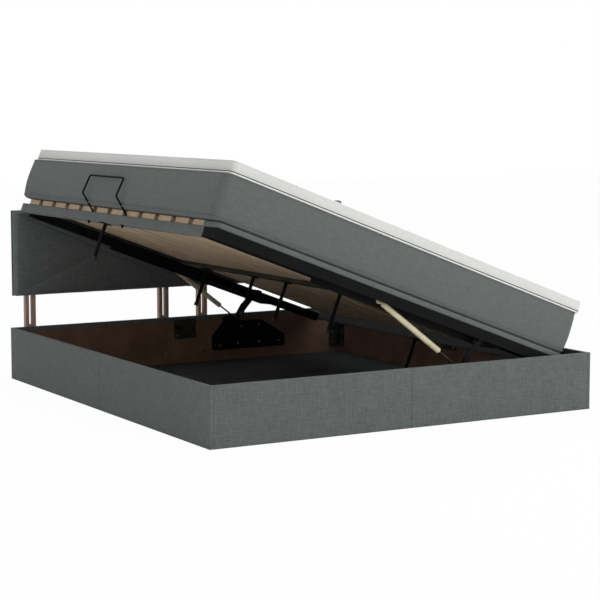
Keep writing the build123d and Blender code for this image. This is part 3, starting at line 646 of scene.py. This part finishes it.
def blockOnDeck(name, look, finish, node):
    edge, border = look["highRound"] * freeLook["edge"], freeLook["border"]

    def isSeam(place):
        flat = deckBack @ place
        onSide = look["bottom"] + edge < flat.z < look["top"] - edge
        inX = abs(flat.x - look["shift"]) < look["halfWidth"] - border
        inY = look["low"] + border < flat.y < look["high"] - border
        return not onSide and not (flat.z > look["top"] - freeLook["skin"] and inX and inY)

    block = softBlock(name, look, finish)
    inflate(block, isSeam, look["cap"])
    subdivide(block)
    enlist(block, "deck", (node,))


blockOnDeck("mattressCover", mattressLook, mattressFabric, "mattress")
blockOnDeck("topperCover", topperLook, topperKnit, "topper")

# cords round a soft block: sewn pipings, and one dark cord that is painted shade in the topper's groove
cords = {
    "topperPiping": {"look": topperLook, "finish": pipingCloth, "slot": "topper_fabric",
                     "height": 0.4268, "inset": 0.0032, "radius": 0.0042},
    # a dark cord along the topper's groove: painted shade of the groove, not a sewn tape
    "topperGrooveShadeCord": {"look": topperLook, "finish": paintedGrooveShade, "slot": "topper_fabric",
                     "height": 0.4322, "inset": 0.0012, "radius": 0.0018},
    "topperTopPiping": {"look": topperLook, "finish": pipingCloth, "slot": "topper_fabric",
                        "height": 0.4732, "inset": 0.0036, "radius": 0.0024},
    "mattressTopPiping": {"look": mattressLook, "finish": mattressFabric, "slot": "mattress_fabric",
                          "height": 0.4166, "inset": 0.0062, "radius": 0.0030},
    "mattressLowPiping": {"look": mattressLook, "finish": mattressFabric, "slot": "mattress_fabric",
                          "height": 0.2482, "inset": 0.0102, "radius": 0.0030},
}
cordSides = 8


def piping(name, cord):
    points = []
    loop = lookLoop(cord["look"], blockMesh["perSide"])
    for x, y, nx, ny in loop:
        for k in range(cordSides):
            a = 2 * math.pi * k / cordSides
            out = -cord["inset"] + cord["radius"] * math.cos(a)
            points.append((x + nx * out, y + ny * out, cord["height"] + cord["radius"] * math.sin(a)))
    faces = gridFaces(len(loop), cordSides, closedRows=True, closedColumns=True)
    enlist(newPiece(name, points, faces, cord["finish"], matrix=deckMatrix), "deck")


for cordName, cord in cords.items():
    piping(cordName, cord)
print("mattress and topper made")

# headboard pads: foam under fabric, fuller in the middle, pulled in at the edges
padLook = {"bottom": 0.396, "top": 0.8, "front": 0.980, "back": 1.0158, "halfWidth": 0.905, "round": 0.015,
           "crown": 0.0016, "crownPower": 4, "corner": 0.010, "cap": 0.006, "pinned": 0.02, "arcRows": 8,
           "backDraw": 0.0035, "sideDraw": 0.0012, "backStep": 0.004, "straightShare": 0.72,
           "perCorner": 4, "perSide": 36, "backShares": (0.3, 0.6, 0.9),
           "frontShares": (0.985, 0.95, 0.9, 0.83, 0.74, 0.62, 0.48, 0.32, 0.16)}
padWave = {"pull": 0.0009, "pullSize": 0.07, "swell": 0.0009, "swellSize": 0.13, "swellSeed": 2,
           "swellPower": 6}


def padRing():  # insets of the pad's side, with how far behind its front
    r, depth = padLook["round"], padLook["back"] - padLook["front"]
    ring = [(padLook["backDraw"], depth), (padLook["sideDraw"], depth - padLook["backStep"]),
            (0.0, depth * padLook["straightShare"])]
    return ring + [(r - r * math.cos(a), r - r * math.sin(a)) for a in quarter(padLook["arcRows"])[1:-1]]


def headboardPad(name, node, left, right, seed):
    r, front, ring = padLook["round"], padLook["front"], padRing()
    halfH = (padLook["top"] - padLook["bottom"]) / 2
    centre = Vector(((left + right) / 2, (padLook["bottom"] + padLook["top"]) / 2))
    outline = planLoop((right - left) / 2, -halfH, halfH, padLook["corner"], padLook["perCorner"],
                       padLook["perSide"])
    points = []
    for t in padLook["backShares"]:
        points += [(centre.x + x * t, padLook["back"], centre.y + z * t) for x, z, nx, nz in outline]
    for inset, back in ring:
        for x, z, nx, nz in outline:
            drawn = inset + padWave["pull"] * ripple((x, z, 0.0), padWave["pullSize"], seed)
            points.append((centre.x + x - nx * drawn, front + back, centre.y + z - nz * drawn))
    for t in padLook["frontShares"]:
        for x, z, nx, nz in outline:
            px, pz = (x - nx * r) * t, (z - nz * r) * t
            wave = ripple((px, pz, 0.0), padWave["swellSize"], seed + padWave["swellSeed"])
            rise = padLook["crown"] * (1 - t ** padLook["crownPower"])
            rise += padWave["swell"] * wave * (1 - t ** padWave["swellPower"])
            points.append((centre.x + px, front - rise, centre.y + pz))
    rings = len(padLook["backShares"]) + len(ring) + len(padLook["frontShares"])
    pad = newPiece(name, points, blockFaces(rings, len(outline)), boxFabric)
    inflate(pad, lambda place: place.y > front + padLook["pinned"], padLook["cap"])
    subdivide(pad)
    enlist(pad, "base", (node,))


headboardPad("headboardPadLeft", "headboard_pad_left", -padLook["halfWidth"], -gap, 1.0)
headboardPad("headboardPadRight", "headboard_pad_right", gap, padLook["halfWidth"], 2.0)
print("headboard made")


# trees for what repeats: heads on marked places, and short threads along a line
def newTree(name, sizes):
    tree = bpy.data.node_groups.new(name, "GeometryNodeTree")
    tree.interface.new_socket("Geometry", in_out="INPUT", socket_type="NodeSocketGeometry")
    for label, value in sizes.items():
        tree.interface.new_socket(label, in_out="INPUT", socket_type="NodeSocketFloat").default_value = value
    tree.interface.new_socket("Finish", in_out="INPUT", socket_type="NodeSocketMaterial")
    tree.interface.new_socket("Geometry", in_out="OUTPUT", socket_type="NodeSocketGeometry")
    return tree, tree.nodes.new("NodeGroupInput").outputs


def treeNode(tree, kind, settings, sockets):
    made = tree.nodes.new(kind)
    for key, value in settings.items():
        setattr(made, key, value)
    for key, value in sockets.items():
        if isinstance(value, bpy.types.NodeSocket):
            tree.links.new(value, made.inputs[key])
        else:
            made.inputs[key].default_value = value
    return made.outputs


def closeTree(tree, source, instances):
    joined = treeNode(tree, "GeometryNodeRealizeInstances", {}, {"Geometry": instances})
    painted = treeNode(tree, "GeometryNodeSetMaterial", {}, {
        "Geometry": joined[0], "Material": source["Finish"]})
    tree.links.new(painted[0], tree.nodes.new("NodeGroupOutput").inputs[0])
    return tree


headLook = {"sizes": {"Radius": 0.005, "Height": 0.0022, "Sides": 12.0}, "crownShare": 0.72}
threadLook = {"sizes": {"Pitch": 0.008, "Length": 0.005, "Radius": 0.0005}, "sides": 6}


def headTree():
    tree, source = newTree("screwHeads", headLook["sizes"])
    crown = treeNode(tree, "ShaderNodeMath", {"operation": "MULTIPLY"}, {
        0: source["Radius"], 1: headLook["crownShare"]})
    head = treeNode(tree, "GeometryNodeMeshCone", {}, {
        "Vertices": source["Sides"], "Radius Top": crown[0], "Radius Bottom": source["Radius"],
        "Depth": source["Height"]})
    facing = treeNode(tree, "GeometryNodeInputNamedAttribute", {"data_type": "FLOAT_VECTOR"}, {
        "Name": "facing"})
    turned = treeNode(tree, "FunctionNodeAlignRotationToVector", {"axis": "Z"}, {
        "Vector": facing["Attribute"]})
    heads = treeNode(tree, "GeometryNodeInstanceOnPoints", {}, {
        "Points": source["Geometry"], "Instance": head["Mesh"], "Rotation": turned[0]})
    return closeTree(tree, source, heads[0])


def threadTree():
    tree, source = newTree("threads", threadLook["sizes"])
    line = treeNode(tree, "GeometryNodeMeshToCurve", {}, {"Mesh": source["Geometry"]})
    places = treeNode(tree, "GeometryNodeCurveToPoints", {"mode": "LENGTH"}, {
        "Curve": line[0], "Length": source["Pitch"]})
    thread = treeNode(tree, "GeometryNodeMeshCylinder", {}, {
        "Vertices": threadLook["sides"], "Radius": source["Radius"], "Depth": source["Length"]})
    laid = treeNode(tree, "GeometryNodeInstanceOnPoints", {}, {
        "Points": places["Points"], "Instance": thread["Mesh"], "Rotation": places["Rotation"]})
    return closeTree(tree, source, laid[0])


screwHeads, threads = headTree(), threadTree()


def grown(name, tree, mesh, sizes, finish, body):
    holder = bpy.data.objects.new(name + "Places", mesh)
    bpy.context.scene.collection.objects.link(holder)
    modifier = holder.modifiers.new("rows", "NODES")
    modifier.node_group = tree
    sockets = {s.name: s.identifier for s in tree.interface.items_tree if s.in_out == "INPUT"}
    for label, value in sizes.items():
        modifier[sockets[label]] = value
    modifier[sockets["Finish"]] = finish
    baked = bpy.data.meshes.new_from_object(evaluated(holder))
    bpy.data.objects.remove(holder)
    piece = bpy.data.objects.new(name, baked)
    bpy.context.scene.collection.objects.link(piece)
    enlist(piece, body)


def markedPlaces(name, places, matrix=boxMatrix):  # each place with the way that its head looks
    mesh = bpy.data.meshes.new(name)
    mesh.from_pydata([tuple(matrix @ Vector(p)) for p, way in places], [], [])
    facing = mesh.attributes.new("facing", "FLOAT_VECTOR", "POINT")
    turn = matrix.to_3x3()
    for k, (p, way) in enumerate(places):
        facing.data[k].vector = turn @ Vector(way)
    return mesh


def closedLine(name, path, matrix=boxMatrix):
    mesh = bpy.data.meshes.new(name)
    edges = [(k, (k + 1) % len(path)) for k in range(len(path))]
    mesh.from_pydata([tuple(matrix @ Vector(p)) for p in path], edges, [])
    return mesh


# screws and bolts of the box: brackets, joining plates and base plates
boxFixings = {"steel": 0.003, "plate": 0.004, "bracketReach": 0.036, "bracketHeights": (0.058, 0.111, 0.164),
              "joinReach": 0.042, "joinHeights": (0.15, 0.214),
              "basePlate": ((0.30, 0.09), (0.32, 0.175), (0.42, 0.18), (0.42, 0.09), (0.535, 0.09)),
              "screwHead": {"Radius": 0.0046},
              "boltHead": {"Radius": 0.0075, "Height": 0.0012, "Sides": 6.0}}


def boxScrewPlaces():
    places = []
    faceX, faceY = innerX - boxFixings["steel"], innerY - boxFixings["steel"]
    reach = boxFixings["bracketReach"]
    for sx in (-1, 1):
        for sy in (-1, 1):
            for z in boxFixings["bracketHeights"]:
                places.append(((sx * (innerX - reach), sy * faceY, z), (0, -sy, 0)))
                places.append(((sx * faceX, sy * (innerY - reach), z), (-sx, 0, 0)))
    for across in (-boxFixings["joinReach"], boxFixings["joinReach"]):
        for z in boxFixings["joinHeights"]:
            for s in (-1, 1):
                places.append(((across, s * faceY, z), (0, -s, 0)))
                places.append(((s * faceX, across, z), (-s, 0, 0)))
    return places


def basePlateBoltPlaces():
    face = innerY - boxFixings["plate"]
    return [((x, s * face, z), (0, -s, 0)) for s in (-1, 1) for x, z in boxFixings["basePlate"]]


grown("boxScrews", screwHeads, markedPlaces("boxScrewPlaces", boxScrewPlaces()), boxFixings["screwHead"],
      plated, "base")
grown("basePlateBolts", screwHeads, markedPlaces("basePlateBoltPlaces", basePlateBoltPlaces()),
      boxFixings["boltHead"], plated, "base")

# screws of the deck: under the feet's plates, and through the linkage plates
deckFixings = {"spread": 0.015, "plateFace": 0.951, "plateHeight": 0.186,
               "plateScrews": (-0.345, -0.235, 0.545, 0.6), "legRow": 0.035, "legReach": 0.61,
               "legShares": (-1, -0.2456, 0.2456, 1), "legHeight": 0.193, "railX": 0.848, "railY": 0.03,
               "railHeight": 0.171, "head": {"Radius": 0.0035, "Height": 0.0016}}


def deckScrewPlaces():
    legs = [(0.0, deckFixings["legRow"] + deckFixings["legReach"] * share, deckFixings["legHeight"])
            for share in deckFixings["legShares"]]
    legs += [(s * deckFixings["railX"], deckFixings["railY"], deckFixings["railHeight"]) for s in (-1, 1)]
    spread = (-deckFixings["spread"], deckFixings["spread"])
    places = [((x + dx, y + dy, z), (0, 0, -1)) for x, y, z in legs for dx in spread for dy in spread]
    for s in (-1, 1):
        for x in deckFixings["plateScrews"]:
            places.append(((x, s * deckFixings["plateFace"], deckFixings["plateHeight"]), (0, s, 0)))
    return places


grown("deckScrews", screwHeads, markedPlaces("deckScrewPlaces", deckScrewPlaces(), deckMatrix),
      deckFixings["head"], darkBolt, "deck")

# stitches along both seams of the mattress
stitchLook = {"perSide": 48, "sizes": {"Pitch": 0.008, "Length": 0.0052, "Radius": 0.0006}}
stitchRows = {"mattressTopStitch": {"height": 0.4105, "inset": 0.0058},
              "mattressLowStitch": {"height": 0.2545, "inset": 0.0056}}
for stitchName, row in stitchRows.items():
    loop = lookLoop(mattressLook, stitchLook["perSide"], row["inset"])
    line = closedLine(stitchName + "Line", [(x, y, row["height"]) for x, y, nx, ny in loop], deckMatrix)
    grown(stitchName, threads, line, stitchLook["sizes"], threadCloth, "deck")

# staples that hold the cover's edge in the box
stapleLook = {"height": 0.232, "station": 0.1, "sizes": {"Pitch": 0.062, "Length": 0.011, "Radius": 0.0006}}
stapled = [(x, y, stapleLook["height"]) for x, y in rimPath(rimFlap["thick"], stapleLook["station"])]
stapleLine = closedLine("rimStapleLine", stapled)
grown("rimStaples", threads, stapleLine, stapleLook["sizes"], plated, "base")
print("screws, stitches and staples made")

# floor and backdrop: white where the camera sees them, and the floor keeps some of the shadow
stageLook = {"size": 40.0, "floorTint": 0.9, "floorGlow": 0.97, "skyLevel": 0.62}


def stageMaterial(name, tint, glow):
    made = bpy.data.materials.new(name)
    made.use_nodes = True
    tree = made.node_tree
    tree.nodes.clear()
    out = tree.nodes.new("ShaderNodeOutputMaterial")
    matt = tree.nodes.new("ShaderNodeBsdfDiffuse")
    matt.inputs["Color"].default_value = (tint, tint, tint, 1)
    light = tree.nodes.new("ShaderNodeEmission")
    light.inputs["Color"].default_value = (1, 1, 1, 1)
    path = tree.nodes.new("ShaderNodeLightPath")
    mix = tree.nodes.new("ShaderNodeMixShader")
    plug(tree, mix.inputs[0], Signal(tree, path.outputs["Is Camera Ray"]) * glow)
    tree.links.new(matt.outputs[0], mix.inputs[1])
    tree.links.new(light.outputs[0], mix.inputs[2])
    tree.links.new(mix.outputs[0], out.inputs["Surface"])
    return made


def stageFloor():
    mesh = bpy.data.meshes.new("floor")
    half = stageLook["size"] / 2
    corners = [(-half, -half, 0), (half, -half, 0), (half, half, 0), (-half, half, 0)]
    mesh.from_pydata(corners, [], [(0, 1, 2, 3)])
    mesh.materials.append(stageMaterial("stageFloor", stageLook["floorTint"], stageLook["floorGlow"]))
    floor = bpy.data.objects.new("floor", mesh)
    bpy.context.scene.collection.objects.link(floor)


def studioWorld():
    world = bpy.data.worlds.new("studio")
    bpy.context.scene.world = world
    world.use_nodes = True
    tree = world.node_tree
    tree.nodes.clear()
    path = tree.nodes.new("ShaderNodeLightPath")
    sky = tree.nodes.new("ShaderNodeBackground")
    sky.inputs["Strength"].default_value = stageLook["skyLevel"]
    white = tree.nodes.new("ShaderNodeBackground")
    for background in (sky, white):
        background.inputs["Color"].default_value = (1, 1, 1, 1)
    mix = tree.nodes.new("ShaderNodeMixShader")
    out = tree.nodes.new("ShaderNodeOutputWorld")
    tree.links.new(path.outputs["Is Camera Ray"], mix.inputs[0])
    tree.links.new(sky.outputs[0], mix.inputs[1])
    tree.links.new(white.outputs[0], mix.inputs[2])
    tree.links.new(mix.outputs[0], out.inputs["Surface"])


stageFloor()
studioWorld()

# square lamps that look at the middle of the bed
lampTarget = (0, 0, 0.4)
lamps = {"overhead": {"place": (0.6, -0.8, 4.6), "size": 3.6, "power": 90},
         "front": {"place": (1.6, -5.6, 2.4), "size": 2.6, "power": 70}}


def lamp(name, look):
    data = bpy.data.lights.new(name, "AREA")
    data.shape, data.size, data.energy = "SQUARE", look["size"], look["power"]
    made = bpy.data.objects.new(name, data)
    bpy.context.scene.collection.objects.link(made)
    made.location = look["place"]
    way = Vector(lampTarget) - Vector(look["place"])
    made.rotation_euler = way.to_track_quat("-Z", "Y").to_euler()


for lampName, lampLook in lamps.items():
    lamp(lampName, lampLook)

# the view of the photograph
view = {"place": (-3.93889, -6.90314, 1.28954), "yaw": -0.52689, "pitch": 0.10869, "lens": 106.613,
        "sensor": 36.0, "near": 0.05, "far": 200}
camera = bpy.data.objects.new("camera", bpy.data.cameras.new("camera"))
bpy.context.scene.collection.objects.link(camera)
camera.data.sensor_width, camera.data.lens = view["sensor"], view["lens"]
camera.data.clip_start, camera.data.clip_end = view["near"], view["far"]
camera.location = view["place"]
camera.rotation_euler = (math.pi / 2 - view["pitch"], 0, view["yaw"])
bpy.context.scene.camera = camera
bpy.context.scene.view_settings.view_transform = "Standard"
print("stage, lamps and camera set")
